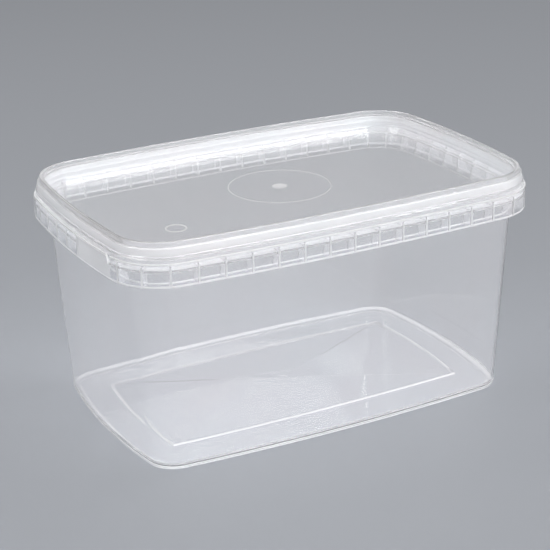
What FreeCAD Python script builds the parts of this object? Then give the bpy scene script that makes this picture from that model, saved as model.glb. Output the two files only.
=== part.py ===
import FreeCAD, Part
import math
import os

# Tamper-evident rectangular food container: a clear polypropylene tub whose rim is
# ringed by a ribbed skirt with a tear-off tab, and its snap-fit lid with a recessed top.
# Origin: middle of the foot ring on the ground. +X along the long side, +Z up.
# Millimetres throughout.

V = FreeCAD.Vector

# ---- driving sizes -----------------------------------------------------------------
TOTAL_LENGTH = 200.0        # over the skirt, mid-side to mid-side
TOTAL_WIDTH = 130.4
TOTAL_HEIGHT = 103.2        # foot to the top bead of the lid
LONG_BOW_R = 1200.0         # the sides are slightly bowed: radius of the long sides
SHORT_BOW_R = 430.0         # and of the short sides
SKIRT_CORNER_R = 24.2

BASE_LENGTH = TOTAL_LENGTH - 21.2   # foot outline, outside the wall
BASE_WIDTH = TOTAL_WIDTH - 18.6
BASE_LONG_BOW_R = 920.0
BASE_SHORT_BOW_R = 260.0
BASE_CORNER_R = 12.6

TUB_WALL = 0.8
FLOOR_T = 0.9
LID_WALL = 0.7
CLEAR = 0.3                 # between the lid and the tub wherever they nest

RIM_TOP = TOTAL_HEIGHT - 2.8
SKIRT_H = 10.1
SKIRT_TOP = RIM_TOP - 5.2
SKIRT_BOTTOM = SKIRT_TOP - SKIRT_H
FLANGE_TOP = SKIRT_TOP - 3.0        # shelf that carries the skirt
WALL_IN = 6.3               # how far the tub wall stands in from the skirt's outside
RIM_IN = 2.9                # how far the rim's outside stands in

RIB_COUNT = 52              # pitches round the whole skirt
RIB_T = 0.8
RIB_OVER_FLANGE = 1.5       # the ribs rise this much above the shelf
TAB_FIRST_RIB = 1           # the tear tab starts at this rib, counted from mid-side
TAB_SKIPPED = (2, 3)        # ribs left out behind it
TAB_NOTCH_AT = 3.45         # notch that ends the tab, in rib pitches from mid-side
NOTCH_W = 3.4
NOTCH_H = 3.6

FOOT_RISE = 0.8             # underside of the floor above the ground
FOOT_W = 2.0
HEEL_R = 1.6
PANEL_LENGTH = BASE_LENGTH - 36.9   # sharp-cornered raised field of the floor
PANEL_WIDTH = BASE_WIDTH - 39.8
PANEL_STEP = 0.5
PANEL_BOW_R = 1250.0
PUSH_UP = 0.9               # four-sided rise of the floor's middle

LID_EDGE_BOTTOM = SKIRT_TOP - 0.6   # lower edge of the lid's lip, inside the skirt
LID_SHOULDER = RIM_TOP + 0.5        # height of the step below the top bead
BEAD_OUT_IN = 2.9           # top bead: outside and inside faces, in from the skirt
BEAD_IN_IN = 4.5
LID_WELL_IN = RIM_IN + 0.6 + TUB_WALL + CLEAR   # recess wall's outside, facing the tub
LID_PANEL_IN = LID_WELL_IN + LID_WALL + 2.9     # where the recessed panel is flat
LID_PANEL_TOP = RIM_TOP - 5.1                   # top face of the recessed panel
GATE_D = 6.6                # gate dimple
GATE_DEPTH = 0.25
RING_D = 45.0               # raised ring round the gate
RING_T = 0.8
RING_H = 0.15
EJECT_D = 8.6               # small circle left by an ejector sleeve
EJECT_AT = (-62.0, -26.0)


# ---- outline: four bowed sides and four tangent corner arcs -------------------------
class Outline:
    """Bowed, rounded rectangle. Insetting keeps every arc's centre."""

    def __init__(self, length, width, long_r, short_r, corner_r):
        self.a = length / 2.0
        self.b = width / 2.0
        self.rl = long_r
        self.rs = short_r
        self.rc = corner_r
        self.cl = self.b - long_r        # centre of the +Y side lies on x = 0
        self.cs = self.a - short_r       # centre of the +X side lies on y = 0
        self.cx, self.cy = self._corner_centre()
        self.t_short = math.atan2(self.cy, self.cx - self.cs)
        self.t_long = math.atan2(self.cx, self.cy - self.cl)

    def _corner_centre(self):
        d1 = self.rl - self.rc
        d2 = self.rs - self.rc
        px, py = 0.0, self.cl
        qx, qy = self.cs, 0.0
        dist = math.hypot(qx - px, qy - py)
        along = (d1 * d1 - d2 * d2 + dist * dist) / (2.0 * dist)
        off = math.sqrt(d1 * d1 - along * along)
        ux, uy = (qx - px) / dist, (qy - py) / dist
        return (px + along * ux + off * uy, py + along * uy - off * ux)

    def arcs(self):
        """(centre, radius, first angle, last angle), counter-clockwise from +X."""
        half = math.pi / 2.0
        ts, tl = self.t_short, self.t_long
        out = []
        for k, sx, sy in ((0, 1, 1), (1, -1, 1), (2, -1, -1), (3, 1, -1)):
            even = k % 2 == 0
            side_c = V(sx * self.cs, 0, 0) if even else V(0, sy * self.cl, 0)
            side_r = self.rs if even else self.rl
            before = ts if even else tl
            after = tl if even else ts
            mid = k * half
            out.append((side_c, side_r, mid - before, mid + before))
            corner = V(sx * self.cx, sy * self.cy, 0)
            out.append((corner, self.rc, mid + before, mid + half - after))
        return out

    def wire(self, inset, z):
        edges = []
        for centre, radius, first, last in self.arcs():
            circle = Part.Circle(V(centre.x, centre.y, z), V(0, 0, 1), radius - inset)
            edges.append(Part.Arc(circle, first, last).toShape())
        return Part.Wire(edges)

    def length(self):
        return sum(r * (last - first) for c, r, first, last in self.arcs())

    def at(self, distance):
        """Point and outward direction at a distance along the outline from +X."""
        left = (distance + self.rs * self.t_short) % self.length()
        for centre, radius, first, last in self.arcs():
            run = radius * (last - first)
            if left <= run:
                t = first + left / radius
                out = V(math.cos(t), math.sin(t), 0)
                return centre + out * radius, out
            left -= run
        return self.at(0.0)


RIM = Outline(TOTAL_LENGTH, TOTAL_WIDTH, LONG_BOW_R, SHORT_BOW_R, SKIRT_CORNER_R)
BASE = Outline(BASE_LENGTH, BASE_WIDTH, BASE_LONG_BOW_R, BASE_SHORT_BOW_R, BASE_CORNER_R)


def swept(section):
    """Ring whose cross-section is a closed run of (inset, height) points."""
    sectors = []
    for centre, radius, first, last in RIM.arcs():
        points = [V(centre.x + radius - d, centre.y, z) for d, z in section]
        face = Part.Face(Part.makePolygon(points + points[:1]))
        face.rotate(centre, V(0, 0, 1), math.degrees(first))
        sectors.append(face.revolve(centre, V(0, 0, 1), math.degrees(last - first)))
    ring = sectors[0].multiFuse(sectors[1:]).removeSplitter()
    return ring


def filled(levels):
    """Solid through stacked outlines given as (outline, inset, height)."""
    wires = [outline.wire(inset, z) for outline, inset, z in levels]
    parts = [Part.makeLoft([low, high], True, True) for low, high in zip(wires, wires[1:])]
    if len(parts) == 1:
        return parts[0]
    return parts[0].multiFuse(parts[1:]).removeSplitter()


# ---- tub ---------------------------------------------------------------------------
def wall_inset(z):
    """Inset of the tub wall's outside above the skirt's lower edge."""
    stations = rim_stations()
    for (d0, z0), (d1, z1) in zip(stations, stations[1:]):
        if z0 <= z <= z1:
            return d0 + (d1 - d0) * (z - z0) / (z1 - z0)
    return stations[-1][0]


def rim_stations():
    """Outside of the upper wall: flare, neck under the rim, and the snap bead."""
    neck = RIM_IN + 0.6
    return [(WALL_IN, SKIRT_BOTTOM), (WALL_IN - 1.1, FLANGE_TOP),
            (neck, RIM_TOP - 4.9), (neck, RIM_TOP - 2.7),
            (RIM_IN, RIM_TOP - 1.9), (RIM_IN, RIM_TOP - 0.4), (RIM_IN + 0.4, RIM_TOP)]


def upper_wall():
    outside = rim_stations()
    rim_inside = RIM_IN + 0.6 + TUB_WALL
    inside = [(rim_inside - 0.3, RIM_TOP), (rim_inside, RIM_TOP - 0.4),
              (rim_inside, RIM_TOP - 4.9)]
    inside += [(WALL_IN - 1.1 + TUB_WALL, FLANGE_TOP), (WALL_IN + TUB_WALL, SKIRT_BOTTOM)]
    return swept(outside + inside)


def skirt():
    """Shelf and hanging skirt, one angle-shaped ring."""
    shelf_low = FLANGE_TOP - TUB_WALL
    reach = wall_inset(FLANGE_TOP) + 0.3
    soft = 0.25
    return swept([(0, SKIRT_BOTTOM + soft), (soft, SKIRT_BOTTOM), (TUB_WALL, SKIRT_BOTTOM),
                  (TUB_WALL, shelf_low), (reach, shelf_low), (reach, FLANGE_TOP),
                  (TUB_WALL, FLANGE_TOP), (TUB_WALL, SKIRT_TOP), (soft, SKIRT_TOP),
                  (0, SKIRT_TOP - soft)])


def rib_at(distance):
    point, out = RIM.at(distance)
    along = V(-out.y, out.x, 0)
    top = FLANGE_TOP + RIB_OVER_FLANGE
    root = 0.35
    section = [(root, SKIRT_BOTTOM), (wall_inset(SKIRT_BOTTOM) + root, SKIRT_BOTTOM),
               (wall_inset(FLANGE_TOP) + root, FLANGE_TOP),
               (wall_inset(top) + root, top), (root, top)]
    start = point - along * (RIB_T / 2.0)
    corners = [start - out * d + V(0, 0, z) for d, z in section]
    return Part.Face(Part.makePolygon(corners + corners[:1])).extrude(along * RIB_T)


def rib_distance(number):
    """Ribs are counted from the middle of the -X side towards -Y."""
    pitch = RIM.length() / RIB_COUNT
    return RIM.length() / 2.0 + number * pitch


def ribs():
    return [rib_at(rib_distance(k)) for k in range(RIB_COUNT) if k not in TAB_SKIPPED]


def tab_cutters():
    """Slot through the shelf behind the tear tab, and the notch at the tab's end."""
    cutters = []
    first = rib_distance(TAB_FIRST_RIB) + RIB_T / 2.0
    last = rib_distance(TAB_NOTCH_AT)
    steps = 8
    deep = wall_inset(FLANGE_TOP) - TUB_WALL
    outer, inner = [], []
    for k in range(steps + 1):
        point, out = RIM.at(first + (last - first) * k / steps)
        outer.append(point - out * TUB_WALL)
        inner.append(point - out * deep)
    loop = outer + inner[::-1]
    low = V(0, 0, FLANGE_TOP - 2.0 * TUB_WALL)
    face = Part.Face(Part.makePolygon([p + low for p in loop + loop[:1]]))
    cutters.append(face.extrude(V(0, 0, 3.0 * TUB_WALL)))
    point, out = RIM.at(last)
    along = V(-out.y, out.x, 0)
    up = V(0, 0, 1)
    base = point + out * 1.0
    vee = [base + along * (-NOTCH_W / 2.0) + up * (SKIRT_TOP + 0.5),
           base + along * (NOTCH_W / 2.0) + up * (SKIRT_TOP + 0.5),
           base + up * (SKIRT_TOP - NOTCH_H)]
    face = Part.Face(Part.makePolygon(vee + vee[:1]))
    cutters.append(face.extrude(out * -(1.0 + 2.0 * TUB_WALL)))
    return cutters


def field_wire(z, margin):
    """Long sides of the floor field are bowed, its short sides straight."""
    half_l = PANEL_LENGTH / 2.0 - margin
    half_w = PANEL_WIDTH / 2.0 - margin
    sag = half_l * half_l / (2.0 * PANEL_BOW_R)
    edges = []
    for side in (1, -1):
        start = V(side * half_l, side * (half_w - sag), z)
        middle = V(0, side * half_w, z)
        end = V(-side * half_l, side * (half_w - sag), z)
        edges.append(Part.Arc(start, middle, end).toShape())
        edges.append(Part.makeLine(end, V(end.x, -end.y, z)))
    return Part.Wire(edges)


def pyramid(z, rise, margin):
    half_l = PANEL_LENGTH / 2.0 - margin
    half_w = PANEL_WIDTH / 2.0 - margin - 2.0
    corners = [V(half_l, half_w, z), V(-half_l, half_w, z),
               V(-half_l, -half_w, z), V(half_l, -half_w, z)]
    peak = V(0, 0, z + rise)
    faces = [Part.Face(Part.makePolygon(corners + corners[:1]))]
    for k in range(4):
        loop = [corners[k], corners[(k + 1) % 4], peak, corners[k]]
        faces.append(Part.Face(Part.makePolygon(loop)))
    return Part.Solid(Part.Shell(faces))


def raised_field(z, margin, below):
    """Stepped field with a four-sided push-up, standing on height z."""
    step = Part.Face(field_wire(z - below, margin)).extrude(V(0, 0, PANEL_STEP + below))
    return step.fuse(pyramid(z + PANEL_STEP, PUSH_UP, margin))


def build_tub():
    floor_top = FOOT_RISE + FLOOR_T
    soft = HEEL_R * 0.3
    body = filled([(BASE, HEEL_R * 0.8, 0.0), (BASE, soft, soft), (BASE, 0.0, HEEL_R),
                   (RIM, WALL_IN, SKIRT_BOTTOM)])
    cavity = filled([(BASE, TUB_WALL + HEEL_R, floor_top),
                     (BASE, TUB_WALL + soft, floor_top + soft),
                     (BASE, TUB_WALL, floor_top + HEEL_R),
                     (RIM, WALL_IN + TUB_WALL, SKIRT_BOTTOM)])
    foot_in = HEEL_R * 0.8 + FOOT_W
    under = filled([(BASE, foot_in, 0.0), (BASE, foot_in + 0.5, FOOT_RISE)])
    body = body.cut(cavity.fuse(under))
    body = body.fuse(raised_field(floor_top, 0.0, 0.3))
    body = body.cut(raised_field(FOOT_RISE, FLOOR_T / 2.0, 0.0))
    tub = body.fuse(upper_wall()).fuse(skirt())
    tub = tub.multiFuse(ribs()).cut(Part.makeCompound(tab_cutters()))
    return tub.removeSplitter()


# ---- lid ---------------------------------------------------------------------------
def lid_section():
    """Closed run from the lip's lower edge up over the bead and down into the recess."""
    t = LID_WALL
    top = TOTAL_HEIGHT
    lip = TUB_WALL + CLEAR                      # the lip drops inside the skirt
    back = LID_WELL_IN
    outer = [(lip, LID_EDGE_BOTTOM), (lip, RIM_TOP - 2.9), (lip + 0.3, RIM_TOP - 2.5),
             (1.8, LID_SHOULDER - 0.4), (2.1, LID_SHOULDER),
             (BEAD_OUT_IN - 0.1, LID_SHOULDER + 0.1), (BEAD_OUT_IN, top - 0.4),
             (BEAD_OUT_IN + 0.4, top), (BEAD_IN_IN - 0.4, top), (BEAD_IN_IN, top - 0.4)]
    well = [(back + t - 0.2, RIM_TOP), (back + t + 0.1, LID_PANEL_TOP + 1.2),
            (back + t + 0.9, LID_PANEL_TOP + 0.2)]
    panel = [(LID_PANEL_IN, LID_PANEL_TOP), (LID_PANEL_IN, LID_PANEL_TOP - t)]
    under = [(back + 1.3, LID_PANEL_TOP - t), (back + 0.1, LID_PANEL_TOP + 0.6),
             (back - 0.2, RIM_TOP + CLEAR)]
    cap_low = LID_SHOULDER + 0.1 - t + 0.4
    inside = [(2.1 + t, cap_low), (1.8 + t, LID_SHOULDER - 0.8)]
    hook = RIM_IN + 0.6 - CLEAR
    snap = [(lip + 0.3 + t, RIM_TOP - 2.1), (hook, RIM_TOP - 3.0), (hook, RIM_TOP - 3.4),
            (lip + t, RIM_TOP - 4.2), (lip + t, LID_EDGE_BOTTOM)]
    return outer + well + panel + under + inside + snap


def build_lid():
    ring = swept(lid_section())
    low = LID_PANEL_TOP - LID_WALL
    edge = LID_PANEL_IN - 0.1
    sheet = filled([(RIM, edge, low), (RIM, edge, LID_PANEL_TOP)])
    lid = ring.fuse(sheet)
    reach = GATE_D * GATE_D / (8.0 * GATE_DEPTH) + GATE_DEPTH / 2.0
    dimple = Part.makeSphere(reach, V(0, 0, LID_PANEL_TOP + reach - GATE_DEPTH))
    lid = lid.cut(dimple)
    marks = [(0.0, 0.0, RING_D), (EJECT_AT[0], EJECT_AT[1], EJECT_D)]
    for x, y, size in marks:
        foot = V(x, y, LID_PANEL_TOP - 0.2)
        rise = RING_H + 0.2
        ring_outer = Part.makeCylinder(size / 2.0 + RING_T / 2.0, rise, foot)
        ring_inner = Part.makeCylinder(size / 2.0 - RING_T / 2.0, rise, foot)
        lid = lid.fuse(ring_outer.cut(ring_inner))
    return lid.removeSplitter()


def single(shape):
    """The one solid a fused shape holds."""
    if len(shape.Solids) != 1:
        raise ValueError("expected one solid, got %d" % len(shape.Solids))
    solid = shape.Solids[0]
    if not solid.isValid():
        raise ValueError("the solid is not valid")
    return solid


os.makedirs("parts", exist_ok=True)
for name, shape in (("tub", build_tub()), ("lid", build_lid())):
    solid = single(shape)
    solid.exportStep("parts/" + name + ".step")
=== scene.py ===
import math

import bmesh
import bpy
from mathutils import Matrix, Vector


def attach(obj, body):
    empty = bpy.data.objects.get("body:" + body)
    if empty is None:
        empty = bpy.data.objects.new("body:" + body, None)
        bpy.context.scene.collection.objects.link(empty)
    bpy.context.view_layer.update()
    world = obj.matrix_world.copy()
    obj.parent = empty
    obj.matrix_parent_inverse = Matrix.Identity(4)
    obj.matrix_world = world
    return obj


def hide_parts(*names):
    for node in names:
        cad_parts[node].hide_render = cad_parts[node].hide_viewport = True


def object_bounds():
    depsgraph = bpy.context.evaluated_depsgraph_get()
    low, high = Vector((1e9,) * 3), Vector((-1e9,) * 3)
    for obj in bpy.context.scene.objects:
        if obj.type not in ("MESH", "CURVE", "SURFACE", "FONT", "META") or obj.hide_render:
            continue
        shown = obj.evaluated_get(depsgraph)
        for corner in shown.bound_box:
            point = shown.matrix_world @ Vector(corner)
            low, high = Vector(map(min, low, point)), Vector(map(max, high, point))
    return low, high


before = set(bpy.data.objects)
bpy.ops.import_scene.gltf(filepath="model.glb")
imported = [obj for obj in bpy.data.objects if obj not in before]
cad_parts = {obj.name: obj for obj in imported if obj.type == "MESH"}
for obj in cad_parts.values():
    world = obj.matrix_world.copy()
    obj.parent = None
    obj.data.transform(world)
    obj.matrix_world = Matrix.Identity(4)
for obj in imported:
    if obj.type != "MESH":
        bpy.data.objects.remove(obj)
CAD_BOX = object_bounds()

# A clear polypropylene food tub with its lid snapped on. Both mouldings are drawn again here
# as smooth walls with rounded edges, on the same outlines and heights as the solids. The
# wall's parting step and the floor field's creases and bowed ends are only drawn here.
# Sizes are in millimetres, and meshes are made in metres.
MM = 0.001

# ---- sizes ---------------------------------------------------------------------------
LOW, HIGH = Vector(CAD_BOX[0]), Vector(CAD_BOX[1])
LENGTH = (HIGH.x - LOW.x) / MM           # over the skirt
WIDTH = (HIGH.y - LOW.y) / MM
HEIGHT = (HIGH.z - LOW.z) / MM           # foot to the lid's top bead
LONG_BOW_R, SHORT_BOW_R, SKIRT_CORNER_R = 1200.0, 430.0, 24.2
BASE_LENGTH, BASE_WIDTH = LENGTH - 21.2, WIDTH - 18.6
BASE_LONG_BOW_R, BASE_SHORT_BOW_R, BASE_CORNER_R = 920.0, 260.0, 12.6

TUB_WALL, FLOOR_T, LID_WALL, CLEAR = 0.8, 0.9, 0.7, 0.3
RIM_TOP = HEIGHT - 2.8                   # under the lid's bead
SKIRT_TOP = RIM_TOP - 5.2
SKIRT_BOTTOM = SKIRT_TOP - 10.1
FLANGE_TOP = SKIRT_TOP - 3.0             # the shelf that carries the skirt
NECK_FOOT = RIM_TOP - 4.9
WALL_IN, RIM_IN = 6.3, 2.9               # wall and rim, in from the skirt's outside
WALL_FLARE = 1.1                         # how far the wall leans out from skirt's foot to shelf
NECK_IN = RIM_IN + 0.6
PART_STEP = 0.2                          # step in the wall where the mould parts
PART_HIGHLIGHT_H = 0.45                       # height of the strip under that step that is painted white as a highlight

RIB_COUNT, RIB_T, RIB_OVER_FLANGE = 52, 0.8, 1.5
RIB_PROUD, RIB_TOE, RIB_ROOT = 0.03, 0.1, 0.5
TAB_FIRST_RIB, TAB_SKIPPED, TAB_NOTCH_AT = 1, 2, 3.45
NOTCH_W, NOTCH_FOOT_W, NOTCH_H, NOTCH_OVER = 3.4, 0.6, 3.6, 0.5
FOOT_STRIP, TOP_STRIP, STRIP_SLACK = 0.8, 0.7, 0.05  # strips at the skirt's edges, painted white as highlights

FOOT_RISE, FOOT_W, HEEL_R = 0.8, 2.0, 1.6
FLOOR_TOP = FOOT_RISE + FLOOR_T
HEEL_RUN = 2.0                           # straight wall and floor on each side of the heel
FIELD_LENGTH, FIELD_WIDTH = BASE_LENGTH - 36.9, BASE_WIDTH - 39.8
FIELD_STEP, FIELD_BOW, FIELD_END_BOW = 0.5, 2.0, 2.4
FIELD_EDGE, FIELD_EDGE_H = 0.35, 0.15    # half width and height of the ridge round the field
RISE_H, RISE_MARGIN = 0.9, 3.0           # the floor's low four-sided rise, in from the field
RISE_SHARES = (0.1, 0.4, 0.7, 1.0)
FLOOR_GATE_D, FLOOR_GATE_SHARE, CREASE_H = 3.6, 0.96, 0.06

PANEL_TOP = RIM_TOP - 5.1                # the lid's sunken middle
PANEL_EDGE_IN = 8.2
GATE_D, GATE_DEPTH = 6.6, 0.25
RING_D, RING_FOOT_W, RING_CREST_W, RING_H = 45.0, 0.32, 0.16, 0.075
EJECT_D, EJECT_FOOT_W, EJECT_CREST_W, EJECT_H = 8.6, 0.6, 0.2, 0.15
EJECT_AT, EJECT_SUNK = (-62.0, -26.0), 0.2

# ring points in each quarter: half a short side, a corner, half a long side
SIDE_SHORT, CORNER, SIDE_LONG = 8, 24, 12
CORNER_MIDDLE = SIDE_SHORT + CORNER // 2
ROUND_STEPS, ROUND_SHARE = 4, 0.48       # facets of a rounded edge, and its share of a side
RIB_LINE_STEPS, SLOT_STEPS, EJECT_STEPS = 520, 12, 64
SHARP_DEG = 32


# ---- outlines ------------------------------------------------------------------------
class Outline:
    """Rounded rectangle with bowed sides; insetting it keeps every arc's centre."""

    def __init__(self, length, width, long_r, short_r, corner_r):
        self.long_r, self.short_r, self.corner_r = long_r, short_r, corner_r
        self.long_c = width / 2 - long_r
        self.short_c = length / 2 - short_r
        # corner centre: where circles about the two side centres cross
        d1, d2 = long_r - corner_r, short_r - corner_r
        p, q = Vector((0, self.long_c)), Vector((self.short_c, 0))
        u = (q - p).normalized()
        gap = (q - p).length
        along = (d1 * d1 - d2 * d2 + gap * gap) / (2 * gap)
        off = math.sqrt(d1 * d1 - along * along)
        self.corner = p + along * u + off * Vector((u.y, -u.x))
        self.t_short = math.atan2(self.corner.y, self.corner.x - self.short_c)
        self.t_long = math.atan2(self.corner.x, self.corner.y - self.long_c)

    def quarter(self, inset):
        """Points from the middle of the +X side up to that of the +Y side, and that one."""
        turn = math.pi / 2
        runs = ((Vector((self.short_c, 0)), self.short_r, 0.0, self.t_short, SIDE_SHORT),
                (self.corner, self.corner_r, self.t_short, turn - self.t_long, CORNER),
                (Vector((0, self.long_c)), self.long_r, turn - self.t_long, turn, SIDE_LONG))
        out = []
        for centre, radius, first, last, steps in runs:
            for k in range(steps):
                t = first + (last - first) * k / steps
                out.append(centre + (radius - inset) * Vector((math.cos(t), math.sin(t))))
        return out, Vector((0, self.long_c + self.long_r - inset))

    def ring(self, inset, z):
        """The whole outline at a height, anticlockwise from +X."""
        return mirrored(*self.quarter(inset), z)

    def length(self):
        """Way round the outline."""
        points = self.ring(0.0, 0.0)
        return sum((a - b).length for a, b in zip(points, points[1:] + points[:1]))

    def depth(self, point):
        """How far in from the outline a point is."""
        here = Vector((abs(point.x), abs(point.y)))
        out = here - self.corner
        if self.t_short < math.atan2(out.y, out.x) < math.pi / 2 - self.t_long:
            return self.corner_r - out.length
        return min(self.long_r - (here - Vector((0, self.long_c))).length,
                   self.short_r - (here - Vector((self.short_c, 0))).length)

    def at(self, distance):
        """Point and outward direction at a distance along the outline from +X."""
        points = self.ring(0.0, 0.0)
        distance %= self.length()
        for a, b in zip(points, points[1:] + points[:1]):
            run = (b - a).length
            if distance <= run:
                along = (b - a) / run
                return a + along * distance, Vector((along.y, -along.x, 0))
            distance -= run
        return points[0], Vector((1, 0, 0))


def mirrored(quarter, last, z):
    """A whole ring from the points of its first quarter and the one that ends it."""
    first = quarter + [last]
    second = [Vector((-p.x, p.y)) for p in reversed(first[1:-1])]
    half = first + second
    whole = half + [Vector((-p.x, -p.y)) for p in half]
    return [Vector((p.x, p.y, z)) for p in whole]


RIM = Outline(LENGTH, WIDTH, LONG_BOW_R, SHORT_BOW_R, SKIRT_CORNER_R)
BASE = Outline(BASE_LENGTH, BASE_WIDTH, BASE_LONG_BOW_R, BASE_SHORT_BOW_R, BASE_CORNER_R)


def on_diagonal(point, half_l, half_w, slack=0.001):
    """Whether a point lies on a line from the middle of a rectangle to its corner."""
    return abs(abs(point.x) / half_l - abs(point.y) / half_w) < slack


def field_ring(scale, margin, bow, z, crease=0.0):
    """Sharp-cornered rectangle with bowed sides, on the base outline's spokes.

    A crease lifts the points on its diagonals.
    """
    quarter, _ = BASE.quarter(0.0)
    pivot = quarter[CORNER_MIDDLE]
    half_l, half_w = FIELD_LENGTH / 2 - margin, FIELD_WIDTH / 2 - margin
    end_bow = FIELD_END_BOW * bow / FIELD_BOW
    out = []
    for k, p in enumerate(quarter):
        if k <= CORNER_MIDDLE:
            y = p.y / pivot.y
            out.append(Vector((half_l + end_bow * (1 - y * y), (half_w - bow) * y)) * scale)
        else:
            x = p.x / pivot.x
            out.append(Vector((half_l * x, half_w - bow * x * x)) * scale)
    ring = mirrored(out, Vector((0, half_w)) * scale, z)
    for p in ring:
        if on_diagonal(p, scale * half_l, scale * (half_w - bow)):
            p.z += crease
    return ring


def circle_ring(radius, z):
    """Circle on the rim outline's spokes."""
    quarter, _ = RIM.quarter(0.0)
    turns = [math.atan2(p.y, p.x) for p in quarter]
    points = [radius * Vector((math.cos(t), math.sin(t))) for t in turns]
    return mirrored(points, Vector((0, radius)), z)


# ---- sections ------------------------------------------------------------------------
def softened(section):
    """(inset, height, radius) corners turned into points, each corner rounded."""
    out = []
    for k, (d, z, radius) in enumerate(section):
        here = Vector((d, z))
        if radius == 0 or k in (0, len(section) - 1):
            out.append(here)
            continue
        before = Vector(section[k - 1][:2]) - here
        after = Vector(section[k + 1][:2]) - here
        angle = before.angle(after)
        reach = min(radius / math.tan(angle / 2),
                    before.length * ROUND_SHARE, after.length * ROUND_SHARE)
        fit = reach * math.tan(angle / 2)
        start, end = before.normalized() * reach, after.normalized() * reach
        centre = (start + end).normalized() * (fit / math.sin(angle / 2))
        a, b = start - centre, end - centre
        turn = a.angle_signed(b) * -1
        for j in range(ROUND_STEPS + 1):
            spin = Matrix.Rotation(turn * j / ROUND_STEPS, 2)
            out.append(here + centre + spin @ a)
    return out


def wall_inset(z):
    """Inset of the tub wall's outside, step left out, between the skirt's foot and the neck."""
    if z <= FLANGE_TOP:
        return WALL_IN - WALL_FLARE * (z - SKIRT_BOTTOM) / (FLANGE_TOP - SKIRT_BOTTOM)
    share = min((z - FLANGE_TOP) / (NECK_FOOT - FLANGE_TOP), 1.0)
    return WALL_IN - WALL_FLARE + (NECK_IN - WALL_IN + WALL_FLARE) * share


def floor_under_rings():
    """The underside of the floor field, from its middle out to the step round it."""
    under = FOOT_RISE + FIELD_STEP
    rings = [circle_ring(FLOOR_GATE_D / 2, under + RISE_H * FLOOR_GATE_SHARE)]
    for share in RISE_SHARES:
        rings.append(field_ring(share, RISE_MARGIN, 0.0, under + RISE_H * (1 - share)))
    for margin, z in ((0.75, under), (0.45, under - 0.2), (0.35, FOOT_RISE)):
        rings.append(field_ring(1.0, margin, FIELD_BOW, z))
    return rings


def foot_rings():
    """The raised underside's edge, the foot ring it stands on, and the rounded heel."""
    foot_in = HEEL_R * 0.8
    section = softened([
        (foot_in + FOOT_W + 1.5, FOOT_RISE, 0), (foot_in + FOOT_W + 0.4, FOOT_RISE, 0.4),
        (foot_in + FOOT_W, 0.0, 0.3), (foot_in, 0.0, 0.6),
        (HEEL_R * 0.3, HEEL_R * 0.3, 0.9), (0.0, HEEL_R, 1.2), (0.0, HEEL_R + HEEL_RUN, 0)])
    return [BASE.ring(p.x, p.y) for p in section]


def rim_rings():
    """Wall, shelf, hanging skirt and rim bead, from the wall's outside to its inside."""
    shelf_low = FLANGE_TOP - TUB_WALL
    section = softened([
        # the wall's outside: the strip painted white as a highlight, the step above it, and up
        # to the shelf
        (WALL_IN, SKIRT_BOTTOM - PART_STEP / 2 - PART_HIGHLIGHT_H, 0),
        (WALL_IN, SKIRT_BOTTOM - PART_STEP / 2, 0),
        (WALL_IN + PART_STEP, SKIRT_BOTTOM + PART_STEP / 2, 0),
        (wall_inset(shelf_low), shelf_low, 0.5),
        # the skirt, down its inside and up its outside, with a strip at each edge for a painted
        # highlight
        (TUB_WALL, shelf_low, 0.3), (TUB_WALL, SKIRT_BOTTOM + FOOT_STRIP, 0),
        (TUB_WALL, SKIRT_BOTTOM, 0.2), (0.0, SKIRT_BOTTOM, 0.35),
        (0.0, SKIRT_BOTTOM + FOOT_STRIP, 0), (0.0, SKIRT_TOP - TOP_STRIP, 0),
        (0.0, SKIRT_TOP, 0.35), (TUB_WALL, SKIRT_TOP, 0.3),
        # the shelf's top, the neck and the rim bead
        (TUB_WALL, FLANGE_TOP, 0.3), (WALL_IN - WALL_FLARE, FLANGE_TOP, 0.5),
        (NECK_IN, NECK_FOOT, 3.0), (NECK_IN, RIM_TOP - 2.7, 0.6),
        (RIM_IN, RIM_TOP - 1.9, 0.4), (RIM_IN, RIM_TOP, 0.4),
        # down the wall's inside
        (NECK_IN + TUB_WALL, RIM_TOP, 0.4), (NECK_IN + TUB_WALL, NECK_FOOT, 3.0),
        (WALL_IN - WALL_FLARE + TUB_WALL, FLANGE_TOP, 3.0),
        (WALL_IN + TUB_WALL, SKIRT_BOTTOM, 0)])
    return [RIM.ring(p.x, p.y) for p in section]


def floor_rings():
    """The heel's inside and the floor, up its ridge and its creased rise to the middle."""
    top = FLOOR_TOP
    section = softened([
        (TUB_WALL, top + HEEL_R + HEEL_RUN, 0), (TUB_WALL, top + HEEL_R, 1.6),
        (TUB_WALL + HEEL_R * 0.3, top + HEEL_R * 0.3, 1.2),
        (TUB_WALL + HEEL_R, top, 1.6), (TUB_WALL + HEEL_R + HEEL_RUN, top, 0)])
    rings = [BASE.ring(p.x, p.y) for p in section]
    rise = top + FIELD_STEP
    for margin, z in ((-FIELD_EDGE, top), (0.0, rise + FIELD_EDGE_H), (FIELD_EDGE, rise)):
        rings.append(field_ring(1.0, margin, FIELD_BOW, z))
    for share in reversed(RISE_SHARES):
        rings.append(field_ring(share, RISE_MARGIN, 0.0, rise + RISE_H * (1 - share), CREASE_H))
    rings.append(circle_ring(FLOOR_GATE_D / 2, rise + RISE_H * FLOOR_GATE_SHARE))
    rings.append(circle_ring(FLOOR_GATE_D / 2 - 0.3, rise + RISE_H * 0.7))
    return rings


def tub_rings():
    """From the middle of the underside, out, up over the rim, and down to the floor."""
    return floor_under_rings() + foot_rings() + rim_rings() + floor_rings()


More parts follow.
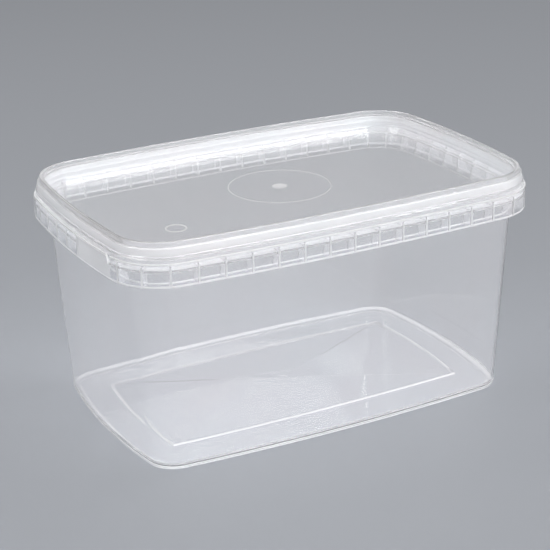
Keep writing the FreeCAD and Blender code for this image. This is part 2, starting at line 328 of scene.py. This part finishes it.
def lid_rings():
    """From the middle of the underside, out, over the bead, and back to the middle."""
    t = LID_WALL
    lip = TUB_WALL + CLEAR               # the lip hangs just inside the skirt
    back = NECK_IN + TUB_WALL + CLEAR    # the recess wall stands just inside the rim
    hook = NECK_IN - CLEAR
    low = PANEL_TOP - t
    section = softened([
        # the panel's underside and the recess wall
        (PANEL_EDGE_IN, low, 0), (back + 1.1, low, 0.9), (back + 0.1, PANEL_TOP + 0.6, 0.9),
        (back - 0.2, RIM_TOP + CLEAR, 0.15),
        # over the rim bead and down to the hook that snaps under it
        (lip + 1.0 + t, RIM_TOP + CLEAR, 0.2), (lip + 0.7 + t, RIM_TOP - 0.3, 0.4),
        (lip + 0.3 + t, RIM_TOP - 2.1, 0.4),
        (hook, RIM_TOP - 3.0, 0.15), (hook, RIM_TOP - 3.4, 0.15),
        # the lip's foot, then up its outside over the step to the top bead
        (lip + t, RIM_TOP - 4.2, 0.4), (lip + t, SKIRT_TOP - 0.6, 0.2),
        (lip, SKIRT_TOP - 0.6, 0.2), (lip, RIM_TOP - 2.9, 0.2), (lip + 0.3, RIM_TOP - 2.5, 0.2),
        (1.95, RIM_TOP + 0.45, 0.4), (2.85, RIM_TOP + 0.6, 0.25),
        (2.9, HEIGHT, 0.45), (4.5, HEIGHT, 0.5),
        # down into the recess
        (back + t - 0.2, RIM_TOP, 0.8), (back + t + 0.3, PANEL_TOP, 0.7),
        (PANEL_EDGE_IN, PANEL_TOP, 0)])
    rings = [circle_ring(GATE_D / 2, low)]
    rings += [RIM.ring(p.x, p.y) for p in section]
    for across, z in ((RING_FOOT_W, PANEL_TOP), (RING_CREST_W, PANEL_TOP + RING_H),
                      (-RING_CREST_W, PANEL_TOP + RING_H), (-RING_FOOT_W, PANEL_TOP)):
        rings.append(circle_ring((RING_D + across) / 2, z))
    for share in (1.0, 0.75, 0.5, 0.25):
        rings.append(circle_ring(GATE_D / 2 * share,
                                 PANEL_TOP - GATE_DEPTH * (1 - share * share)))
    return rings


# ---- mesh building -------------------------------------------------------------------
def scaled(point):
    """A point in metres."""
    return (point.x * MM, point.y * MM, point.z * MM)


def banded(mesh, rows, closed=False):
    """Quads between neighbouring rows of vertices and, if closed, from last to first."""
    for low, high in zip(rows, rows[1:] + rows[:1] if closed else rows[1:]):
        for k in range(len(low)):
            n = (k + 1) % len(low)
            mesh.faces.new((low[k], low[n], high[n], high[k]))


def skinned(name, rings):
    """Closed mesh through rings of equal count, with a fan at each end."""
    mesh = bmesh.new()
    rows = [[mesh.verts.new(scaled(p)) for p in ring] for ring in rings]
    banded(mesh, rows)
    for row, turned in ((rows[0], True), (rows[-1], False)):
        hub = mesh.verts.new(sum((v.co for v in row), Vector()) / len(row))
        for k in range(len(row)):
            pair = (row[k], row[(k + 1) % len(row)])
            mesh.faces.new((hub, *(pair[::-1] if turned else pair)))
    bmesh.ops.recalc_face_normals(mesh, faces=mesh.faces)
    return made(name, mesh)


def made(name, mesh):
    """An object in the scene from a finished bmesh."""
    data = bpy.data.meshes.new(name)
    mesh.to_mesh(data)
    mesh.free()
    obj = bpy.data.objects.new(name, data)
    bpy.context.scene.collection.objects.link(obj)
    return obj


def prism(name, outline, along, thickness):
    """Closed prism of a flat outline, thickened both ways along a direction."""
    mesh = bmesh.new()
    half = along.normalized() * thickness / 2
    low = [mesh.verts.new(scaled(p - half)) for p in outline]
    high = [mesh.verts.new(scaled(p + half)) for p in outline]
    mesh.faces.new(low)
    mesh.faces.new(high[::-1])
    for k in range(len(low)):
        n = (k + 1) % len(low)
        mesh.faces.new((low[k], high[k], high[n], low[n]))
    bmesh.ops.recalc_face_normals(mesh, faces=mesh.faces)
    return made(name, mesh)


def settled(obj):
    """Swap an object's mesh for its evaluated one and drop the modifiers."""
    graph = bpy.context.evaluated_depsgraph_get()
    data = bpy.data.meshes.new_from_object(obj.evaluated_get(graph), depsgraph=graph)
    obj.modifiers.clear()
    obj.data = data
    return obj


def combined(obj, other, operation):
    """Exact boolean of obj with other, which is used up. Each face keeps its material."""
    step = obj.modifiers.new("cut", "BOOLEAN")
    step.operation = operation
    step.solver = "EXACT"
    step.material_mode = "TRANSFER"
    step.object = other
    settled(obj)
    bpy.data.objects.remove(other)
    return obj


def smoothed(obj):
    """Smooth shading that keeps flat faces flat beside their rounded edges."""
    mesh = obj.data
    mesh.shade_smooth()
    mesh.set_sharp_from_angle(angle=math.radians(SHARP_DEG))
    weight = obj.modifiers.new("weight", "WEIGHTED_NORMAL")
    weight.keep_sharp = True
    weight.weight = 80
    return settled(obj)


def add(tree, kind, settings=None, **inputs):
    """A node with its settings; an input is a value or a socket to link from."""
    node = tree.nodes.new(kind)
    for name, value in (settings or {}).items():
        setattr(node, name, value)
    for name, value in inputs.items():
        name = name.replace("_", " ")
        if name.isdigit():
            socket = node.inputs[int(name)]
        else:
            named = [s for s in node.inputs if s.name == name and s.enabled]
            socket = named[0] if named else node.inputs[name]
        if isinstance(value, bpy.types.NodeSocket):
            tree.links.new(value, socket)
        else:
            socket.default_value = value
    return node


# ---- ribs by Geometry Nodes ----------------------------------------------------------
def rib_distance(number):
    """Ribs are counted from the middle of the -X side towards -Y."""
    return RIM.length() * (0.5 + number / RIB_COUNT)


def rib_tree():
    """Copies of one rib at equal steps along a closed line, with a gap for the tab."""
    tree = bpy.data.node_groups.new("ribs_along_skirt", "GeometryNodeTree")
    face = tree.interface
    face.new_socket("Geometry", in_out="INPUT", socket_type="NodeSocketGeometry")
    for name, kind in (("Rib", "NodeSocketObject"), ("Count", "NodeSocketInt"),
                       ("First Left Out", "NodeSocketInt"), ("Left Out", "NodeSocketInt"),
                       ("Material", "NodeSocketMaterial")):
        face.new_socket(name, in_out="INPUT", socket_type=kind)
    face.new_socket("Geometry", in_out="OUTPUT", socket_type="NodeSocketGeometry")
    given = add(tree, "NodeGroupInput")
    line = add(tree, "GeometryNodeMeshToCurve", Mesh=given.outputs["Geometry"])
    even = add(tree, "GeometryNodeResampleCurve", Curve=line.outputs[0],
               Count=given.outputs["Count"])
    tangent = add(tree, "GeometryNodeInputTangent")
    turn = add(tree, "FunctionNodeAlignRotationToVector", {"axis": "Y"},
               Vector=tangent.outputs[0])
    place = add(tree, "GeometryNodeInputIndex")
    last = add(tree, "ShaderNodeMath", {"operation": "ADD"},
               **{"0": given.outputs["First Left Out"], "1": given.outputs["Left Out"]})
    after = add(tree, "FunctionNodeCompare", {"data_type": "INT", "operation": "GREATER_EQUAL"},
                A=place.outputs[0], B=last.outputs[0])
    before = add(tree, "FunctionNodeCompare", {"data_type": "INT", "operation": "LESS_THAN"},
                 A=place.outputs[0], B=given.outputs["First Left Out"])
    kept = add(tree, "FunctionNodeBooleanMath", {"operation": "OR"},
               **{"0": after.outputs[0], "1": before.outputs[0]})
    rib = add(tree, "GeometryNodeObjectInfo", Object=given.outputs["Rib"])
    copies = add(tree, "GeometryNodeInstanceOnPoints", Points=even.outputs[0],
                 Selection=kept.outputs[0], Instance=rib.outputs["Geometry"],
                 Rotation=turn.outputs[0])
    real = add(tree, "GeometryNodeRealizeInstances", Geometry=copies.outputs[0])
    finish = add(tree, "GeometryNodeSetMaterial", Geometry=real.outputs[0],
                 Material=given.outputs["Material"])
    add(tree, "NodeGroupOutput", Geometry=finish.outputs[0])
    return tree


def one_rib():
    """A rib on the outline's spoke, rooted in the wall and just proud of the skirt."""
    top = FLANGE_TOP + RIB_OVER_FLANGE
    section = [(-RIB_PROUD, SKIRT_BOTTOM + RIB_TOE), (RIB_ROOT, SKIRT_BOTTOM),
               (wall_inset(SKIRT_BOTTOM) + RIB_ROOT, SKIRT_BOTTOM),
               (wall_inset(FLANGE_TOP) + RIB_ROOT, FLANGE_TOP),
               (wall_inset(top) + RIB_ROOT, top), (-RIB_PROUD, top)]
    return prism("rib", [Vector((-d, 0, z)) for d, z in section], Vector((0, 1, 0)), RIB_T)


def skirt_ribs(material):
    """The radial ribs between the hanging skirt and the tub wall."""
    rib = one_rib()
    start = rib_distance(0)
    line = bmesh.new()
    dots = [line.verts.new(scaled(RIM.at(start + RIM.length() * k / RIB_LINE_STEPS)[0]))
            for k in range(RIB_LINE_STEPS)]
    for a, b in zip(dots, dots[1:] + dots[:1]):
        line.edges.new((a, b))
    ribs = made("skirt_ribs", line)
    step = ribs.modifiers.new("ribs", "NODES")
    step.node_group = rib_tree()
    sizes = {"Rib": rib, "Count": RIB_COUNT, "First Left Out": TAB_FIRST_RIB + 1,
             "Left Out": TAB_SKIPPED, "Material": material}
    for item in step.node_group.interface.items_tree:
        if item.in_out == "INPUT" and item.name in sizes:
            step[item.identifier] = sizes[item.name]
    settled(ribs)
    bpy.data.objects.remove(rib)
    return ribs


# ---- tear tab and lid marks ----------------------------------------------------------
def tab_slot():
    """Cutter that parts the shelf from the skirt behind the tear tab."""
    first = rib_distance(TAB_FIRST_RIB) + RIB_T / 2
    last = rib_distance(TAB_NOTCH_AT)
    deep = wall_inset(FLANGE_TOP) - TUB_WALL
    outer, inner = [], []
    for k in range(SLOT_STEPS + 1):
        point, out = RIM.at(first + (last - first) * k / SLOT_STEPS)
        outer.append(point - out * TUB_WALL)
        inner.append(point - out * deep)
    lift = Vector((0, 0, FLANGE_TOP - TUB_WALL / 2))
    outline = [p + lift for p in outer + inner[::-1]]
    return prism("tab_slot", outline, Vector((0, 0, 1)), 3 * TUB_WALL)


def tab_notch():
    """Cutter for the V that lets the tab tear at its end."""
    point, out = RIM.at(rib_distance(TAB_NOTCH_AT))
    along = Vector((-out.y, out.x, 0))
    up = Vector((0, 0, 1))
    high, low = SKIRT_TOP + NOTCH_OVER, SKIRT_TOP - NOTCH_H
    vee = [point + along * (across / 2) + up * z
           for across, z in ((-NOTCH_W, high), (-NOTCH_FOOT_W, low),
                             (NOTCH_FOOT_W, low), (NOTCH_W, high))]
    return prism("tab_notch", vee, out, 3 * TUB_WALL)


def ejector_ring():
    """Faint round mark of an ejector sleeve, a low ring on the lid's panel."""
    rings = []
    for across, z in ((EJECT_FOOT_W, -EJECT_SUNK), (EJECT_FOOT_W, 0.0),
                      (EJECT_CREST_W, EJECT_H), (-EJECT_CREST_W, EJECT_H),
                      (-EJECT_FOOT_W, 0.0), (-EJECT_FOOT_W, -EJECT_SUNK)):
        radius = (EJECT_D + across) / 2
        turns = [2 * math.pi * k / EJECT_STEPS for k in range(EJECT_STEPS)]
        rings.append([Vector((EJECT_AT[0] + radius * math.cos(t),
                              EJECT_AT[1] + radius * math.sin(t), PANEL_TOP + z))
                      for t in turns])
    mesh = bmesh.new()
    banded(mesh, [[mesh.verts.new(scaled(p)) for p in ring] for ring in rings], closed=True)
    bmesh.ops.recalc_face_normals(mesh, faces=mesh.faces)
    return made("ejector_ring", mesh)


# ---- materials -----------------------------------------------------------------------
# spans of the melt's flow, of the sinks in a wall and of the grain that the mould's polish
# leaves, which is drawn coarser than it is so that it shows
FLOW_SPAN, SINK_SPAN, GRAIN_SPAN = 42 * MM, 14 * MM, 1.2 * MM
SINK_DEPTH, GRAIN_DEPTH = 0.2 * MM, 0.04 * MM
POLYPROPYLENE_IOR = 1.49
WALL_COLOURS = "fbfdfe", "fefcfd"
SHADOW_TINT = (0.965, 0.967, 0.97, 1.0)
FLOOR_COLOUR = "a2a5ab"


def linear(hex_colour):
    """sRGB hex to a linear RGBA tuple."""
    out = []
    for k in (0, 2, 4):
        c = int(hex_colour[k:k + 2], 16) / 255
        out.append(c / 12.92 if c <= 0.04045 else ((c + 0.055) / 1.055) ** 2.4)
    return (*out, 1.0)


def empty_material(name):
    """A new material and its node tree, with nothing in it."""
    material = bpy.data.materials.new(name)
    material.use_nodes = True
    material.node_tree.nodes.clear()
    return material, material.node_tree


def clear_polypropylene(grade, haze, rough):
    """Injection-moulded clarified polypropylene: glossy, see-through, a little milky.

    Haze is the share of the light that isn't let through, and gives the milky white. Slow
    noise as wide as the melt's flow shifts the gloss and a faint tint, a shorter one leaves
    the walls a touch uneven, as thin mouldings are, and a fine one breaks up the gloss.
    Lamps shine straight through, as they do through a thin wall.
    """
    material, tree = empty_material("injection_moulded_clear_polypropylene_" + grade)
    where = add(tree, "ShaderNodeTexCoord")
    flow = add(tree, "ShaderNodeTexNoise", Vector=where.outputs["Object"],
               Scale=1 / FLOW_SPAN, Detail=2.0, Distortion=0.6)
    tint = add(tree, "ShaderNodeMix", {"data_type": "RGBA"}, Factor=flow.outputs["Fac"],
               A=linear(WALL_COLOURS[0]), B=linear(WALL_COLOURS[1]))
    gloss = add(tree, "ShaderNodeMapRange", Value=flow.outputs["Fac"],
                To_Min=rough * 0.7, To_Max=rough * 1.4)
    sink = add(tree, "ShaderNodeTexNoise", Vector=where.outputs["Object"],
               Scale=1 / SINK_SPAN, Detail=1.0)
    grain = add(tree, "ShaderNodeTexNoise", Vector=where.outputs["Object"],
                Scale=1 / GRAIN_SPAN, Detail=2.0)
    wave = add(tree, "ShaderNodeBump", Height=sink.outputs["Fac"], Strength=0.06,
               Distance=SINK_DEPTH)
    bump = add(tree, "ShaderNodeBump", Height=grain.outputs["Fac"], Strength=0.02,
               Distance=GRAIN_DEPTH, Normal=wave.outputs[0])
    plastic = add(tree, "ShaderNodeBsdfPrincipled", Base_Color=tint.outputs["Result"],
                  Roughness=gloss.outputs[0], Transmission_Weight=1.0 - haze,
                  IOR=POLYPROPYLENE_IOR, Sheen_Weight=0.12, Sheen_Roughness=0.35,
                  Normal=bump.outputs[0])
    through = add(tree, "ShaderNodeBsdfTransparent", Color=SHADOW_TINT)
    ray = add(tree, "ShaderNodeLightPath")
    mix = add(tree, "ShaderNodeMixShader", **{"0": ray.outputs["Is Shadow Ray"],
                                              "1": plastic.outputs[0], "2": through.outputs[0]})
    add(tree, "ShaderNodeOutputMaterial", Surface=mix.outputs[0])
    return material


def matte_board():
    """Matte painted board under the object: an even pale grey with no gloss."""
    material, tree = empty_material("matte_board")
    paint = add(tree, "ShaderNodeBsdfPrincipled", Base_Color=linear(FLOOR_COLOUR),
                Roughness=0.55)
    add(tree, "ShaderNodeOutputMaterial", Surface=paint.outputs[0])
    return material


# ---- where the plastic whitens, and where highlights are painted white ---------------
TAB_START, TAB_END = (RIM.at(rib_distance(n))[0].xy for n in (TAB_FIRST_RIB, TAB_NOTCH_AT))
RIM_BAND_H, LID_RIM_W = 2.8, 5.0         # the tub's thick rim and the lid's
NEAR = 0.1                               # how far past a face still counts as on it


def on_tab(p):
    """The tear tab, between its last rib and its notch."""
    along = TAB_END - TAB_START
    share = (p.xy - TAB_START).dot(along) / along.length_squared
    return 0 < share < 1 and p.z > SKIRT_BOTTOM and RIM.depth(p) < 1.0 and p.x < 0


def on_tub_rim(p, normal):
    """The rim bead and the neck just under it."""
    return p.z > RIM_TOP - RIM_BAND_H


def on_tub_highlight_band(p, normal):
    """The tear tab, the shelf's top and the inside of the heel, painted white as bands of
    highlight.
    """
    return (on_tab(p)
            or abs(p.z - FLANGE_TOP) < 0.5 and normal.z > 0.3
            or FLOOR_TOP < p.z < FLOOR_TOP + HEEL_R / 2 and BASE.depth(p) < 2 * HEEL_R)


def on_rib_strip(p, normal):
    """The ribs' outer ends, which stand proud of the skirt, painted white as a highlight."""
    return SKIRT_BOTTOM - NEAR < p.z < SKIRT_TOP + NEAR and RIM.depth(p) < -RIB_PROUD / 3


def on_skirt_edge(p, normal):
    """The strips along the skirt's foot and top, and round the tab's notch, painted white as
    highlights.
    """
    return RIM.depth(p) < 1.0 and (
        SKIRT_BOTTOM - NEAR < p.z < SKIRT_BOTTOM + FOOT_STRIP - STRIP_SLACK
        or abs(p.z - SKIRT_TOP) < TOP_STRIP - STRIP_SLACK
        or p.z > SKIRT_TOP - NOTCH_H - 0.3 and (p.xy - TAB_END).length < 0.7 * NOTCH_W)


def on_tub_line(p, normal):
    """The wall's parting line, the heel, the foot ring's inside and the field's ridge, painted
    white as highlight lines.
    """
    return (SKIRT_BOTTOM - PART_HIGHLIGHT_H < p.z < SKIRT_BOTTOM + PART_STEP / 2
            and WALL_IN - NEAR < RIM.depth(p) < WALL_IN + PART_STEP + NEAR
            or NEAR < p.z < 1.0 and BASE.depth(p) < 0.9
            or 0.05 < p.z < FOOT_RISE - 0.02 and 3.0 < BASE.depth(p) < 5.2
            or p.z < 3.0 and abs(normal.z) < 0.93 and BASE.depth(p) > 6.0)


def on_lid_rim(p, normal):
    """The lid's lip, bead and hook."""
    return RIM.depth(p) < LID_RIM_W


def on_lid_step(p, normal):
    """The step under the lid's bead, painted white as a band of highlight."""
    return (RIM_TOP - 2.6 < p.z < RIM_TOP + 0.4 and RIM.depth(p) < 2.2
            and normal.z > -0.2)


def in_gate_dimple(p, normal):
    """The dimple at the lid's gate, painted white as a highlight."""
    return p.xy.length < GATE_D / 2 and p.z > PANEL_TOP - GATE_DEPTH - NEAR


def on_lid_ring(p, normal):
    """The large low ring round the lid's gate, painted white as a highlight."""
    return abs(p.xy.length - RING_D / 2) < RING_FOOT_W and p.z > PANEL_TOP


def zoned(obj, plastic, where):
    """Give the faces whose middle passes the test another grade of the plastic."""
    slots = obj.data.materials
    if plastic.name not in slots:
        slots.append(plastic)
    slot = slots.find(plastic.name)
    for face in obj.data.polygons:
        middle = Vector(face.center) / MM
        if where(middle, face.normal):
            face.material_index = slot


# ---- the container -------------------------------------------------------------------
# one plastic in four grades of haze and roughness: the walls, and the rims, which whiten with
# the thickness that the light meets; the other two grades are painted highlights, white lines
# on fine edges and white bands on the shelf, the lid's step, the tab and the heel's inside
thin = clear_polypropylene("thin", 0.07, 0.02)
thick = clear_polypropylene("thick", 0.2, 0.03)
# white lines on fine edges: painted highlights that stand in for the light these edges catch
edge_on = clear_polypropylene("edge_on", 0.6, 0.12)
# white bands: painted highlights on the shelf, the lid's step, the tab and the heel's inside
cloudy = clear_polypropylene("cloudy", 0.38, 0.2)

tub = skinned("tub_moulding", tub_rings())
tub.data.materials.append(thin)
combined(tub, skirt_ribs(thick), "UNION")
combined(tub, tab_slot(), "DIFFERENCE")
combined(tub, tab_notch(), "DIFFERENCE")
# the rim is hazier for its thickness; the other zones are painted highlights
for plastic, where in ((thick, on_tub_rim), (cloudy, on_tub_highlight_band), (edge_on, on_rib_strip),
                       (edge_on, on_skirt_edge), (edge_on, on_tub_line)):
    zoned(tub, plastic, where)
smoothed(tub)

lid = skinned("lid_moulding", lid_rings())
lid.data.materials.append(thin)
# the lid's rim is hazier for its thickness; its step, gate dimple and ring are painted
# highlights
for plastic, where in ((thick, on_lid_rim), (cloudy, on_lid_step), (edge_on, in_gate_dimple),
                       (edge_on, on_lid_ring)):
    zoned(lid, plastic, where)
mark = ejector_ring()
# the ejector ring is painted white as a highlight
mark.data.materials.append(edge_on)
combined(lid, mark, "UNION")
smoothed(lid)

for piece, node in ((tub, "tub"), (lid, "lid")):
    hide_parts(node)
    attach(piece, "root")


# ---- floor and light -----------------------------------------------------------------
FLOOR_HALF, FLOOR_DROP = 6.0, 0.1 * MM   # dropped, so that it and the foot share no plane


def level_plane(name, half, z):
    """Square at a height, with its sides twice half as long."""
    mesh = bmesh.new()
    corners = [mesh.verts.new((x * half, y * half, z))
               for x, y in ((-1, -1), (1, -1), (1, 1), (-1, 1))]
    mesh.faces.new(corners)
    return made(name, mesh)


floor = level_plane("floor", FLOOR_HALF, -FLOOR_DROP)
floor.data.materials.append(matte_board())


def softbox(name, place, aim, size, power):
    """Rectangular area light at a place, in metres, turned to face a point."""
    data = bpy.data.lights.new(name, "AREA")
    data.shape = "RECTANGLE"
    data.size, data.size_y = size
    data.energy = power
    lamp = bpy.data.objects.new(name, data)
    lamp.location = place
    lamp.rotation_euler = (Vector(aim) - Vector(place)).to_track_quat("-Z", "Y").to_euler()
    bpy.context.scene.collection.objects.link(lamp)
    return lamp


softbox("top_softbox", (-0.1, 0.55, 1.15), (0, 0, 0.05), (1.5, 0.18), 3.2)
softbox("front_softbox", (0.35, -1.3, 0.45), (0, 0, 0.08), (1.6, 0.5), 2.4)
softbox("key_softbox", (0.45, -1.05, 0.8), (0, 0, 0.08), (0.9, 0.3), 7.0)
softbox("left_softbox", (-1.0, -0.1, 0.8), (0, 0, 0.08), (0.5, 0.5), 3.0)


def studio_world(low_colour, high_colour, strength):
    """Even studio light, grey at the horizon and white overhead."""
    world = bpy.data.worlds.new("studio")
    world.use_nodes = True
    tree = world.node_tree
    tree.nodes.clear()
    toward = add(tree, "ShaderNodeTexCoord")
    height = add(tree, "ShaderNodeSeparateXYZ", Vector=toward.outputs["Generated"])
    share = add(tree, "ShaderNodeMapRange", Value=height.outputs["Z"],
                From_Min=0.05, From_Max=0.65)
    glow = add(tree, "ShaderNodeMix", {"data_type": "RGBA"}, Factor=share.outputs[0],
               A=linear(low_colour), B=linear(high_colour))
    lit = add(tree, "ShaderNodeBackground", Color=glow.outputs["Result"], Strength=strength)
    add(tree, "ShaderNodeOutputWorld", Surface=lit.outputs[0])
    return world


bpy.context.scene.world = studio_world("9a9ea6", "ffffff", 0.52)


# ---- camera --------------------------------------------------------------------------
YAW, PITCH, ROLL = (math.radians(v) for v in (27.66, 21.59, -1.19))
CAMERA_AT = Vector((-316.7, -598.2, 321.2)) * MM
SENSOR_WIDTH, FOCAL_SHARE = 36.0, 2.9564  # focal length as a share of the sensor's width


def placed_camera():
    """Camera that looks along its yaw and down by its pitch, rolled about its axis."""
    ahead = Vector((math.sin(YAW) * math.cos(PITCH), math.cos(YAW) * math.cos(PITCH),
                    -math.sin(PITCH)))
    level = Vector((math.cos(YAW), -math.sin(YAW), 0))
    upright = level.cross(ahead)
    right = level * math.cos(ROLL) + upright * math.sin(ROLL)
    up = upright * math.cos(ROLL) - level * math.sin(ROLL)
    lens = bpy.data.cameras.new("camera")
    lens.sensor_width = SENSOR_WIDTH
    lens.lens = SENSOR_WIDTH * FOCAL_SHARE
    camera = bpy.data.objects.new("camera", lens)
    camera.matrix_world = Matrix((right, up, -ahead)).transposed().to_4x4()
    camera.location = CAMERA_AT
    bpy.context.scene.collection.objects.link(camera)
    return camera


scene = bpy.context.scene
scene.camera = placed_camera()
scene.view_settings.view_transform = "Standard"

# light crosses many thin walls, so it is let through enough of them
scene.cycles.max_bounces = 24
scene.cycles.transmission_bounces = 24
scene.cycles.transparent_max_bounces = 48
